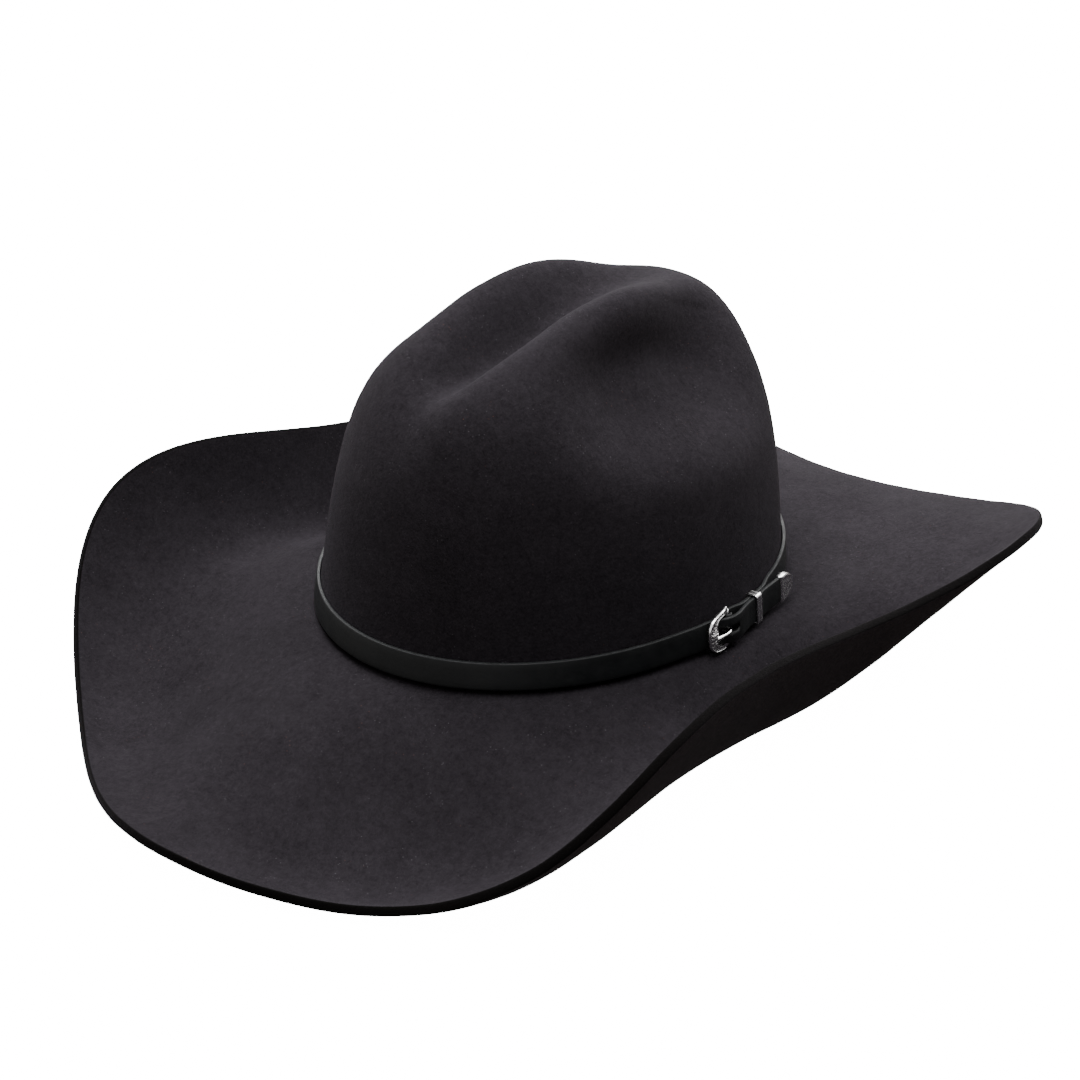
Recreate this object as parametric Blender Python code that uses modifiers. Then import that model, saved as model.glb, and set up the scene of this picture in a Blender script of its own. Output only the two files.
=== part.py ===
"""Cowboy hat: a blocked felt body, its sweatband and lining, and a strap band with a three-piece buckle set.

The wearer's left is +X, the front is -Y and up is +Z. Everything is drawn about the break, where the crown
meets the brim at z = 0, and hangs from one empty that sets the hat down on the lowest points of its brim.
Lengths are in metres and angles in degrees.
"""

import math

import bpy
import numpy as np

for leftover in list(bpy.data.objects):
    bpy.data.objects.remove(leftover, do_unlink=True)

# Head oval and crown
OVAL_LENGTH = 0.206
OVAL_WIDTH = 0.171
OVAL_EGG = 0.02
CROWN_HEIGHT = 0.133
CROWN_TAPER = 0.160
FRONT_TAPER = 0.065
CROWN_BLOCK = 2.85
END_BLOCK = 1.6
FRONT_DROP = 0.018
FRONT_DROP_AT = -0.026
BACK_DROP = 0.008
BACK_DROP_AT = 0.038
BACK_DROP_RUN = 0.020
SIDE_DROP = 0.012
DROP_RUN = 0.030
CREASE_DEPTH = 0.0225
CREASE_WIDTH = 0.0153
CREASE_SPREAD = 0.002
CREASE_MIDDLE = -0.020
CREASE_AHEAD = 0.062
CREASE_BEHIND = 0.074
RIDGE_OUT = 0.030
DENT_DEPTH = 0.024
DENT_SINK = 0.008
DENT_MIDDLE = 0.015
DENT_REACH = 0.0475
DENT_TURN = 0.51
DENT_WIDTH = 0.22
DENT_CLIMB = 0.6
DENT_START = 0.47
CROWN_FELT = 0.0024
BREAK_RADIUS = 0.0025

# Brim. Each row is a point of its edge on the wearer's left: how far out, how far back, how high, and its slope.
BRIM_FELT = 0.0035
BRIM_EDGE = (
    (0.000, -0.210, -0.022, 18.0),  # front
    (0.098, -0.166, -0.025, 39.0),  # front corner
    (0.148, -0.098, 0.030, 66.0),  # where the side turns up
    (0.137, 0.021, 0.023, 75.0),  # side
    (0.148, 0.117, 0.031, 32.0),  # where the side flattens
    (0.081, 0.183, -0.003, -20.0),  # back corner
    (0.000, 0.187, -0.018, -30.0),  # back
)
# How much lower the brim is on the wearer's right, from the back corner to the side
RIGHT_FALL = (0.005, 0.006, 0.005)
STAND_TILT = -2.5
STAND_LIFT = 0.0291
STAND_BACK = 0.0118

# Inside
SWEATBAND_BOTTOM = -0.0025
SWEATBAND_TOP = 0.055
SWEATBAND_LEATHER = 0.0010
SWEATBAND_SPLIT = 0.8
REED_RADIUS = 0.0009
REED_DEPTH = 0.0031
LINING_GAP = 0.0005
LINING_SATIN = 0.0004
SIDE_LINING_BOTTOM = 0.014
TIP_LINING_DROP = 0.0021

# Band and buckle set. Distances along the band run from the buckle's bar towards the back.
BAND_BOTTOM = 0.0032
BAND_TOP = 0.0137
BAND_LEATHER = 0.0015
BAND_GAP = 0.0003
BAR_BACK = 0.007
BAR_OUT = 0.00245
BAR_RADIUS = 0.0008
EYE_LEATHER = 0.0011
BOW_AHEAD = 0.0115
BUCKLE_MIDDLE = 0.0087
BUCKLE_HALF = 0.0070
KEEPER_BACK = 0.018
KEEPER_WIDTH = 0.0035
KEEPER_METAL = 0.0007
TIP_BACK = 0.035
TIP_OUT = 0.0055
TIP_LENGTH = 0.011

# Facets
ROUND = 56
BRIM_RINGS = 9
CROWN_RINGS = 17


def around(values, angle):
    """A smooth closed curve through a value every 30 degrees, from the front round by the left side."""
    stations = np.radians(np.arange(-90, 270, 30))
    total = np.zeros_like(angle)
    for wave in range(7):
        size = 1 / 12 if wave in (0, 6) else 1 / 6
        total = total + size * np.cos(wave * (angle[..., None] - stations)) @ values
    return total


def edge_column(column, sign):
    """One column of the brim's edge, carried round to the wearer's right."""
    half = np.array([row[column] for row in BRIM_EDGE])
    return np.concatenate([half, sign * half[-2:0:-1]])


def oval(angle):
    """The head oval at the break, a little wider behind."""
    x = OVAL_WIDTH / 2 * np.cos(angle) * (1 + OVAL_EGG * np.sin(angle))
    return x, OVAL_LENGTH / 2 * np.sin(angle)


def brim(angle, out):
    """The top of the brim, where out is 0 at the break and 1 at the edge."""
    x0, y0 = oval(angle)
    x1, y1 = around(edge_column(0, -1), angle), around(edge_column(1, 1), angle)
    heights = edge_column(2, 1)
    heights[7:10] -= RIGHT_FALL
    z1 = around(heights, angle)
    slope = np.tan(np.radians(around(edge_column(3, 1), angle)))
    width = np.hypot(x1 - x0, y1 - y0)
    rise = z1 * (3 * out**2 - 2 * out**3) + width * slope * (out**3 - out**2)
    return np.stack([x0 + out * (x1 - x0), y0 + out * (y1 - y0), rise], -1)


def crown(angle, turn):
    """The outside of the crown, where turn is 0 at the break and 1 at the middle of the top."""
    phi = turn * math.pi / 2
    x0, y0 = oval(angle)
    squareness = CROWN_BLOCK + END_BLOCK * np.sin(angle) ** 2
    reach, rise = np.cos(phi) ** (2 / squareness), np.sin(phi) ** (2 / squareness)
    lean = reach * (1 - (CROWN_TAPER - FRONT_TAPER * np.sin(angle)) * rise)
    x, y = x0 * lean, y0 * lean
    drop = FRONT_DROP / 2 * (1 - np.tanh((y - FRONT_DROP_AT) / DROP_RUN))
    drop = drop + BACK_DROP / 2 * (1 + np.tanh((y - BACK_DROP_AT) / BACK_DROP_RUN))
    drop = drop + SIDE_DROP / 2 * (x / RIDGE_OUT) ** 2 * (1 + np.tanh((y - DROP_RUN) / DROP_RUN))
    crease_reach = np.where(y < CREASE_MIDDLE, CREASE_AHEAD, CREASE_BEHIND)
    crease_width = CREASE_WIDTH + CREASE_SPREAD * np.clip(y / 0.05, -1, 1)
    drop = drop + CREASE_DEPTH * np.exp(-(((y - CREASE_MIDDLE) / crease_reach) ** 2) - (x / crease_width) ** 2)
    behind = y - DENT_MIDDLE
    climb = (turn - DENT_TURN - DENT_CLIMB * behind) / DENT_WIDTH
    fade = np.clip((rise - DENT_START) / 0.25, 0, 1)
    dent = np.exp(-(np.abs(behind / DENT_REACH) ** 3) - climb**2) * fade**2 * (3 - 2 * fade)
    x = x - np.clip(x / RIDGE_OUT, -1, 1) * DENT_DEPTH * dent
    return np.stack([x, y, CROWN_HEIGHT * rise - (drop + DENT_SINK * dent) * rise**3], -1)


def inward(angle, turn, depth):
    """A point of the crown, moved in through the felt."""
    step = 1e-4
    across = crown(angle + step, turn) - crown(angle - step, turn)
    up = crown(angle, turn + step) - crown(angle, turn - step)
    normal = np.cross(across, up)
    normal = normal / np.linalg.norm(normal, axis=-1, keepdims=True)
    return crown(angle, turn) - depth * normal


def wall(angle, height, out):
    """A point by the foot of the crown, at this height and this far outside the felt."""
    angle, height, out = np.broadcast_arrays(angle, height, out)
    rise, squareness = np.maximum(height, 0) / CROWN_HEIGHT, CROWN_BLOCK + END_BLOCK * np.sin(angle) ** 2
    shrink = (1 - rise**squareness) ** (1 / squareness) * (1 - (CROWN_TAPER - FRONT_TAPER * np.sin(angle)) * rise)
    x, y = oval(angle)
    normal = np.stack([np.cos(angle) / OVAL_WIDTH, np.sin(angle) / OVAL_LENGTH], -1)
    normal = normal / np.linalg.norm(normal, axis=-1, keepdims=True)
    return np.stack([x * shrink + out * normal[..., 0], y * shrink + out * normal[..., 1], height], -1)


FINE = np.linspace(0, 2 * math.pi, 2001)
RUN = np.linalg.norm(np.diff(wall(FINE, 0.008, 0.001), axis=0), axis=1).cumsum()
RUN = np.concatenate([[0], RUN])
GIRTH = RUN[-1]
BAR_RUN = np.interp(math.asin(BAR_BACK / (OVAL_LENGTH / 2)), FINE, RUN)


def strap(run, out, height):
    """A point of the band: so far along it from the buckle's bar, so far outside the felt, and so high."""
    angle = np.interp((np.asarray(run) + BAR_RUN) % GIRTH, RUN, FINE)
    return wall(angle, height, out)


def new_object(name, points, faces, origin=(0, 0, 0)):
    mesh = bpy.data.meshes.new(name)
    mesh.from_pydata((np.asarray(points) - origin).tolist(), [], faces)
    mesh.validate()
    made = bpy.data.objects.new(name, mesh)
    made.location = origin
    made.parent = stand
    hat.objects.link(made)
    return made


def sleeve(rings, first=0):
    """Quads between each ring of points and the next."""
    count = len(rings[0])
    quads = []
    for low in range(len(rings) - 1):
        for step in range(count):
            after = (step + 1) % count
            a, b = first + low * count, first + (low + 1) * count
            quads.append((a + step, a + after, b + after, b + step))
    return quads


def loft(name, rings, origin=(0, 0, 0), closed=False):
    """One closed body through a row of rings."""
    rings = list(rings)
    count = len(rings[0])
    faces = sleeve(rings)
    if closed:
        last = (len(rings) - 1) * count
        faces += [(last + k, last + (k + 1) % count, (k + 1) % count, k) for k in range(count)]
    else:
        faces.append(tuple(range(count))[::-1])
        faces.append(tuple(range((len(rings) - 1) * count, len(rings) * count)))
    made = new_object(name, np.concatenate(rings), faces, origin)
    face_outward(made)
    return made


def face_outward(made):
    """Turns a closed body the right way out, by the sign of its volume."""
    mesh = made.data
    corners = [[mesh.vertices[k].co for k in face.vertices] for face in mesh.polygons]
    volume = sum(c[0].dot(c[k].cross(c[k + 1])) for c in corners for k in range(1, len(c) - 1))
    if volume < 0:
        mesh.flip_normals()


def shell(name, rings, thickness, pole=None):
    """A skin through rings of points, thickened inwards."""
    points, faces = np.concatenate(rings), sleeve(rings)
    if pole is not None:
        last, count = (len(rings) - 1) * len(rings[0]), len(rings[0])
        faces += [(last + k, last + (k + 1) % count, len(points)) for k in range(count)]
        points = np.concatenate([points, pole])
    made = new_object(name, points, faces)
    solidify = made.modifiers.new("thickness", "SOLIDIFY")
    solidify.thickness = thickness
    solidify.offset = -1
    solidify.use_even_offset = True
    return made


def cut(made, cutter, operation="DIFFERENCE"):
    boolean = made.modifiers.new(operation.lower(), "BOOLEAN")
    boolean.object = cutter
    boolean.operation = operation
    boolean.solver = "EXACT"


def helper(made):
    """Moves a body out of the hat and in with the cutters."""
    hat.objects.unlink(made)
    helpers.objects.link(made)
    made.hide_render = True
    made.display_type = "WIRE"
    return made


def block(name, run, out, height):
    """A box in the band's own directions, from pairs of limits."""
    rings = []
    for k in (0, 1):
        corners = ((out[0], height[0]), (out[1], height[0]), (out[1], height[1]), (out[0], height[1]))
        rings.append(np.array([strap(run[k], o, h) for o, h in corners]))
    return helper(loft(name, rings))


def chamfered(half_out, half_high, chamfer):
    """An upright rectangle with its corners taken off, as (out, up) pairs."""
    o, h, c = half_out, half_high, chamfer
    return ((-o, c - h), (c - o, -h), (o - c, -h), (o, c - h), (o, h - c), (o - c, h), (c - o, h), (-o, h - c))


hat = bpy.data.collections.new("cowboy_hat")
helpers = bpy.data.collections.new("cutters")
helpers.hide_render = True
for collection in (hat, helpers):
    bpy.context.scene.collection.children.link(collection)
stand = bpy.data.objects.new("hat_stand", None)
stand.location = (0, STAND_BACK, STAND_LIFT)
stand.rotation_euler = (math.radians(STAND_TILT), 0, 0)
hat.objects.link(stand)

turns = np.arange(ROUND) * 2 * math.pi / ROUND

# Felt body: brim edge, brim, break, crown wall, creased top
corner = brim(turns, np.zeros(ROUND))
brim_width = np.linalg.norm((brim(turns, np.ones(ROUND)) - corner)[:, :2], axis=1)
flat = brim(turns, BREAK_RADIUS / brim_width)
foot = wall(turns, BREAK_RADIUS, 0)
felt_rings = [brim(turns, out) for out in np.linspace(1, 0.08, BRIM_RINGS)]
for along in (0, 0.5, 1):
    felt_rings.append((1 - along) ** 2 * flat + 2 * along * (1 - along) * corner + along**2 * foot)
felt_rings += [crown(turns, up) for up in np.linspace(0, 1, CROWN_RINGS + 2)[1:-1]]
felt = shell("felt_body", felt_rings, BRIM_FELT, crown(np.zeros(1), np.ones(1)))
weights = felt.vertex_groups.new(name="felt_thickness")
for index in range(len(felt.data.vertices)):
    share = min(1, max(0, (index // ROUND - BRIM_RINGS) / 3))
    weights.add([index], 1 - share * (1 - CROWN_FELT / BRIM_FELT), "REPLACE")
felt.modifiers["thickness"].vertex_group = "felt_thickness"
felt.modifiers["thickness"].thickness_vertex_group = 0

# Table: takes a thin flat off the lowest points of the brim
table = bpy.data.meshes.new("table")
lows, highs = (-0.3, -0.3, -0.05), (0.3, 0.3, 0.0)
box = [(x, y, z) for z in (lows[2], highs[2]) for y in (lows[1], highs[1]) for x in (lows[0], highs[0])]
sides = [(0, 2, 3, 1), (4, 5, 7, 6), (0, 1, 5, 4), (2, 6, 7, 3), (0, 4, 6, 2), (1, 3, 7, 5)]
table.from_pydata(box, [], sides)
table = bpy.data.objects.new("table", table)
helpers.objects.link(table)
table.hide_render = True
table.display_type = "WIRE"
cut(felt, table)

# Sweatband: one strip of leather, its ends meeting at the back
split = math.radians(SWEATBAND_SPLIT)
strip = np.linspace(math.pi / 2 + split, 5 * math.pi / 2 - split, ROUND + 1)


def sweatband_out(height):
    """How far the sweatband's outer face stands in from the felt's outside."""
    return -np.interp(height, (SWEATBAND_BOTTOM, 0.010, SWEATBAND_TOP), (0.0042, 0.0043, 0.0055))


def sweatband_ring(angle):
    heights = (SWEATBAND_BOTTOM, 0.010, 0.035, SWEATBAND_TOP)
    outer = [wall(angle, h, sweatband_out(h)) for h in heights]
    inner = [wall(angle, h, sweatband_out(h) - SWEATBAND_LEATHER) for h in heights]
    return np.array(outer + inner[::-1])


loft("sweatband", [sweatband_ring(angle) for angle in strip])

# Reed: the springy cord sewn along the sweatband's lower edge
spokes = np.arange(6) * math.pi / 3
reed_height = SWEATBAND_BOTTOM + REED_RADIUS
loft(
    "sweatband_reed",
    [
        wall(angle, reed_height + REED_RADIUS * np.sin(spokes), -REED_DEPTH + REED_RADIUS * np.cos(spokes))
        for angle in strip
    ],
)

# Sweatband bow: the small ribbon bow over the join at the back
bow_rings = []
for side in np.linspace(-1, 1, 17):
    puff = abs(math.sin(side * math.pi)) ** 0.7
    middle = 0.011
    out = sweatband_out(middle) - SWEATBAND_LEATHER - 0.0004
    half = 0.0013 + 0.0030 * abs(side) ** 0.8
    deep = 0.0010 + 0.0016 * puff
    ring = [wall(math.pi / 2 + side * 0.115, middle + h, out - deep / 2 + o) for o, h in chamfered(deep / 2, half, 0.0003)]
    bow_rings.append(np.array(ring))
loft("sweatband_bow", bow_rings)

# Lining: a satin side band tucked behind the sweatband, and a satin tip under the top of the crown
lining_turns = np.linspace(0, 1, CROWN_RINGS + 2)
side_rings = [wall(turns, SIDE_LINING_BOTTOM, -CROWN_FELT - LINING_GAP)]
side_rings += [inward(turns, up, CROWN_FELT + LINING_GAP) for up in lining_turns[1:5]]
shell("side_lining", side_rings, LINING_SATIN)
tip_rings = [inward(turns, up, CROWN_FELT + TIP_LINING_DROP) for up in lining_turns[5:-1]]
tip_middle = crown(np.zeros(1), np.ones(1)) - [0, 0, CROWN_FELT + TIP_LINING_DROP]
shell("tip_lining", tip_rings, LINING_SATIN, tip_middle)

# Band: from its eye on the buckle's bar, round the crown, under the bow, over the bar and on to its tip
eye_radius = BAR_RADIUS + 0.00025 + EYE_LEATHER / 2
band_path = []
for turn in np.radians(np.linspace(35, 270, 10)):
    band_path.append((eye_radius * math.cos(turn), BAR_OUT + eye_radius * math.sin(turn), EYE_LEATHER))
lower = BAND_GAP + BAND_LEATHER / 2
raised = lower + 0.0011
under = (
    (0.0025, BAR_OUT - eye_radius, EYE_LEATHER),
    (0.0060, lower, BAND_LEATHER),
    (0.0100, raised, BAND_LEATHER),
    (0.0180, raised, BAND_LEATHER),
    (0.0270, raised, BAND_LEATHER),
    (0.0340, lower, BAND_LEATHER),
)
band_path += under
for run in np.linspace(0.045, GIRTH - 0.040, 50):
    band_path.append((run, lower, BAND_LEATHER))
billet = (
    (-0.030, lower),
    (-0.022, 0.00125),
    (-0.016, 0.0017),
    (-0.0115, 0.0019),
    (-0.008, 0.0023),
    (-0.0055, 0.0036),
    (-0.0028, 0.0051),
    (0.000, 0.0057),
    (0.0040, 0.0055),
    (0.0080, 0.0046),
    (0.0120, 0.00395),
    (0.0180, 0.00395),
    (0.0250, 0.00395),
    (0.0300, 0.0046),
    (TIP_BACK - 0.0004, TIP_OUT),
)
for run, out in billet:
    band_path.append((GIRTH + run, out, BAND_LEATHER))
band_path = np.array(band_path)
heading = np.gradient(band_path[:, :2], axis=0)
heading = heading / np.linalg.norm(heading, axis=1, keepdims=True)
middle = (BAND_BOTTOM + BAND_TOP) / 2
tall = (BAND_TOP - BAND_BOTTOM) / 2


def band_ring(run, out, thick, along, across, height):
    """A section of the strap, square to the way that it is heading."""
    ring = []
    for o, h in chamfered(thick / 2, height, 0.0003):
        ring.append(strap(run - across * o, out + along * o, middle + h))
    return np.array(ring)


band_rings = [
    band_ring(run, out, thick, along, across, tall)
    for (run, out, thick), (along, across) in zip(band_path, heading)
]
tail_along, tail_across = heading[-1]
for run in (TIP_BACK - 0.0003, TIP_BACK + 0.0036):
    out = TIP_OUT + (run - TIP_BACK) * tail_across / tail_along
    band_rings.append(band_ring(GIRTH + run, out, 0.0009, tail_along, tail_across, tall - 0.0012))
band = loft("hat_band", band_rings)
cut(band, block("tongue_slot", (-0.0075, 0.0030), (0.0020, 0.0085), (middle - 0.0014, middle + 0.0014)))
cut(band, block("eye_notch", (-0.0026, 0.0023), (-0.0002, 0.0047), (middle - 0.0016, middle + 0.0016)))

# Buckle: a domed bow with a straight bar across its open side
bar_point = strap(0, BAR_OUT, middle)
bow_turns = np.radians(np.linspace(-90, 90, 23))
bow_rings = []
for turn in bow_turns:
    swell = math.cos(turn)
    run = -BOW_AHEAD * swell**0.6
    high = BUCKLE_MIDDLE + BUCKLE_HALF * math.copysign(abs(math.sin(turn)) ** 0.6, turn)
    out = BAR_OUT + 0.0024 * swell**0.35
    wide, deep = 0.0011 + 0.0005 * swell, 0.0009 + 0.0002 * swell
    reach = np.array([-math.cos(turn), math.sin(turn)])
    ring = []
    for spoke in np.arange(10) * math.pi / 5:
        side, lift = wide * math.cos(spoke), deep * math.sin(spoke)
        ring.append(strap(run + side * reach[0], out + lift, high + side * reach[1]))
    bow_rings.append(np.array(ring))
buckle = loft("buckle_frame", bow_rings, bar_point)
bar_rings = [
    strap(BAR_RADIUS * np.cos(spokes), BAR_OUT + BAR_RADIUS * np.sin(spokes), BUCKLE_MIDDLE + end * BUCKLE_HALF)
    for end in (-1, 1)
]
cut(buckle, helper(loft("buckle_bar", bar_rings)), "UNION")

# Tongue: a ring on the bar and a pin that comes up through the band and rests on the bow
collar = []
for turn in np.arange(14) * 2 * math.pi / 14:
    ring = []
    for radius, high in ((0.00108, -0.0011), (0.0019, -0.0011), (0.0019, 0.0011), (0.00108, 0.0011)):
        ring.append(strap(radius * math.cos(turn), BAR_OUT + radius * math.sin(turn), middle + high))
    collar.append(np.array(ring))
tongue = loft("buckle_tongue", collar, bar_point, closed=True)
pin_path = (
    (-0.0004, 0.00395, 0.0006),
    (-0.0014, 0.0052, 0.0007),
    (-0.0036, 0.0066, 0.0007),
    (-0.0070, 0.0069, 0.0007),
    (-0.0093, 0.0069, 0.0009),
    (-0.0104, 0.0068, 0.0006),
)
pin_rings = []
for k, (run, out, radius) in enumerate(pin_path):
    ahead, behind = pin_path[min(k + 1, 5)], pin_path[max(k - 1, 0)]
    way = np.array([ahead[0] - behind[0], ahead[1] - behind[1]])
    way = way / np.linalg.norm(way)
    ring = []
    for spoke in np.arange(8) * math.pi / 4:
        lift, high = radius * math.sin(spoke), radius * math.cos(spoke)
        ring.append(strap(run - way[1] * lift, out + way[0] * lift, middle + high))
    pin_rings.append(np.array(ring))
cut(tongue, helper(loft("tongue_pin", pin_rings)), "UNION")

# Keeper: a flat metal loop round both layers of the band
keeper_out = (0.00110, 0.00500)
keeper_low, keeper_high = BAND_BOTTOM - 0.0004, BAND_TOP + 0.0004
keeper_middle = ((keeper_out[0] + keeper_out[1]) / 2, (keeper_low + keeper_high) / 2)
keeper_half = ((keeper_out[1] - keeper_out[0]) / 2, (keeper_high - keeper_low) / 2)
keeper_rings = []
inner_loop = chamfered(keeper_half[0], keeper_half[1], 0.0004)
outer_loop = chamfered(keeper_half[0] + KEEPER_METAL, keeper_half[1] + KEEPER_METAL, 0.0008)
for inner, outer in zip(inner_loop, outer_loop):
    ring = []
    for side, (o, h) in ((-1, inner), (-1, outer), (0, outer), (1, outer), (1, inner)):
        swell = 0.0003 if side == 0 else 0
        scale = 1 + swell / 0.003
        run = KEEPER_BACK + side * KEEPER_WIDTH / 2
        ring.append(strap(run, keeper_middle[0] + o * scale, keeper_middle[1] + h * (1 + swell / 0.006)))
    keeper_rings.append(np.array(ring))
keeper_point = strap(KEEPER_BACK, keeper_middle[0], keeper_middle[1])
loft("keeper", keeper_rings, keeper_point, closed=True)

# Band tip: a pointed metal cap over the end of the strap
tip_rings = []
sections = (
    (0.0040, 0.00075, tall - 0.0009),
    (0.0000, 0.00075, tall - 0.0009),
    (0.0000, 0.00130, tall + 0.0002),
    (0.0012, 0.00150, tall + 0.0003),
    (0.0045, 0.00150, tall - 0.0004),
    (0.0080, 0.00135, tall - 0.0022),
    (0.0100, 0.00105, tall - 0.0036),
    (TIP_LENGTH, 0.00055, 0.0006),
)
for along, half_out, half_high in sections:
    run = GIRTH + TIP_BACK + along
    out = TIP_OUT + along * tail_across / tail_along
    ring = []
    for o, h in chamfered(half_out, half_high, min(0.0004, half_out / 2)):
        ring.append(strap(run - tail_across * o, out + tail_along * o, middle + h))
    tip_rings.append(np.array(ring))
loft("band_tip", tip_rings)

FINISHES = {
    "felt_body": ((0.010, 0.010, 0.011, 1), 0.95, 0.0),
    "sweatband": ((0.060, 0.035, 0.020, 1), 0.55, 0.0),
    "sweatband_reed": ((0.030, 0.028, 0.026, 1), 0.80, 0.0),
    "sweatband_bow": ((0.012, 0.012, 0.014, 1), 0.45, 0.0),
    "side_lining": ((0.020, 0.020, 0.024, 1), 0.35, 0.0),
    "tip_lining": ((0.022, 0.022, 0.026, 1), 0.35, 0.0),
    "hat_band": ((0.012, 0.012, 0.013, 1), 0.50, 0.0),
    "buckle_frame": ((0.800, 0.790, 0.780, 1), 0.25, 1.0),
    "buckle_tongue": ((0.810, 0.800, 0.790, 1), 0.22, 1.0),
    "keeper": ((0.790, 0.780, 0.770, 1), 0.28, 1.0),
    "band_tip": ((0.805, 0.795, 0.785, 1), 0.24, 1.0),
}
for name, (colour, roughness, metallic) in FINISHES.items():
    material = bpy.data.materials.new(name + "_finish")
    material.use_nodes = True
    shader = material.node_tree.nodes["Principled BSDF"]
    shader.inputs["Base Color"].default_value = colour
    shader.inputs["Roughness"].default_value = roughness
    shader.inputs["Metallic"].default_value = metallic
    bpy.data.objects[name].data.materials.append(material)
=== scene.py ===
"""Looks of the cowboy hat: fur felt, leather, satin and engraved silver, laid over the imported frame.

The pieces are drawn in the hat's own directions, where the crown meets the brim at z = 0, the front is -Y
and the wearer's left is +X, and placed() then sets them down as the hat stands. Lengths are in metres.
"""

import math

import bpy
import numpy as np
from mathutils import Matrix, Vector


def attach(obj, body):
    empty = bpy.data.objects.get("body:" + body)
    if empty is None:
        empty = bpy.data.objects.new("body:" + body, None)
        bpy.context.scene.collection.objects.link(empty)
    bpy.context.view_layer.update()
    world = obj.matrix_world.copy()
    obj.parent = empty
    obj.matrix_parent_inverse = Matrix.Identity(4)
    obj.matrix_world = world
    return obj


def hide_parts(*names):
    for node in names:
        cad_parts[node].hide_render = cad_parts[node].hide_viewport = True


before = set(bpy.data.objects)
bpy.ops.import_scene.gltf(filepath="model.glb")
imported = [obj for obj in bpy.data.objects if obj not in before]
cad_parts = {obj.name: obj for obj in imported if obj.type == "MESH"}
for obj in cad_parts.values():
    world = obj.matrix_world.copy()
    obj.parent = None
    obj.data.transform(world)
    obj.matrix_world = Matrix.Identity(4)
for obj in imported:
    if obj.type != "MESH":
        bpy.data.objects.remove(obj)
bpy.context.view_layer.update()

# The hat's shape, as the CAD has it
OVAL_LENGTH = 0.206
OVAL_WIDTH = 0.171
OVAL_EGG = 0.02
CROWN_HEIGHT = 0.133
CROWN_TAPER = 0.160
FRONT_TAPER = 0.065
CROWN_BLOCK = 2.85
END_BLOCK = 1.6
FRONT_DROP = 0.018
FRONT_DROP_AT = -0.026
BACK_DROP = 0.008
BACK_DROP_AT = 0.038
BACK_DROP_RUN = 0.020
SIDE_DROP = 0.012
DROP_RUN = 0.030
CREASE_DEPTH = 0.0225
CREASE_WIDTH = 0.0153
CREASE_SPREAD = 0.002
CREASE_MIDDLE = -0.020
CREASE_AHEAD = 0.062
CREASE_BEHIND = 0.074
RIDGE_OUT = 0.030
DENT_DEPTH = 0.024
DENT_SINK = 0.008
DENT_MIDDLE = 0.015
DENT_REACH = 0.0475
DENT_TURN = 0.51
DENT_WIDTH = 0.22
DENT_CLIMB = 0.6
DENT_START = 0.47
CROWN_FELT = 0.0024
BREAK_RADIUS = 0.0025
BRIM_FELT = 0.0035
EDGE_WORN = 0.0009
# The brim's edge every 30 degrees from the front to the back: across, along, up, and its slope in degrees
BRIM_EDGE = (
    (0.000, -0.210, -0.022, 18.0),  # front
    (0.098, -0.166, -0.025, 39.0),  # front corner
    (0.148, -0.098, 0.030, 66.0),  # where the side turns up
    (0.137, 0.021, 0.023, 75.0),  # side
    (0.148, 0.117, 0.031, 32.0),  # where the side flattens
    (0.081, 0.183, -0.003, -20.0),  # back corner
    (0.000, 0.187, -0.018, -30.0),  # back
)
# How much lower the brim is on the wearer's right, from the back corner to the side
RIGHT_FALL = (0.005, 0.006, 0.005)
STAND_TILT = -2.5
STAND_LIFT = 0.0291
STAND_BACK = 0.0118
SWEATBAND_BOTTOM = -0.0025
SWEATBAND_TOP = 0.055
SWEATBAND_LEATHER = 0.0010
SWEATBAND_SPLIT = math.radians(0.8)
SWEATBAND_BACK = 0.094
REED_RADIUS = 0.0009
REED_DEPTH = 0.0031
LINING_GAP = 0.0005
LINING_SATIN = 0.0004
SIDE_LINING_BOTTOM = 0.014
TIP_LINING_DROP = 0.0021
BAND_BOTTOM = 0.0032
BAND_TOP = 0.0137
BAND_LEATHER = 0.0015
BAND_GAP = 0.0003
BAND_MIDDLE = (BAND_BOTTOM + BAND_TOP) / 2
BAND_HALF = (BAND_TOP - BAND_BOTTOM) / 2
BAR_BACK = 0.007
BAR_OUT = 0.00245
BAR_RADIUS = 0.0008
EYE_LEATHER = 0.0011
BOW_AHEAD = 0.0115
BUCKLE_MIDDLE = 0.0087
BUCKLE_HALF = 0.0070
KEEPER_BACK = 0.018
KEEPER_WIDTH = 0.0035
KEEPER_METAL = 0.0007
KEEPER_ROOM = 0.0004
KEEPER_INSIDE = 0.00110
KEEPER_OUTSIDE = 0.00500
TIP_BACK = 0.035
TIP_OUT = 0.0055
TIP_LENGTH = 0.011

# Where the camera stands, about the middle of the hat's foot
CAMERA_ROUND = 44.195
CAMERA_UP = 29.035
CAMERA_AWAY = 0.900
CAMERA_LENS = 73.41
CAMERA_AIM = (-0.862, -0.323, -0.289)

# Fineness of the felt
AROUND = 400
BRIM_RINGS = 64
BREAK_RINGS = 7
CROWN_RINGS = 110

# How the hat stands on its brim
stand = Matrix.Translation((0, STAND_BACK, STAND_LIFT)) @ Matrix.Rotation(math.radians(STAND_TILT), 4, "X")


# ---------------------------------------------------------------- camera


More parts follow.
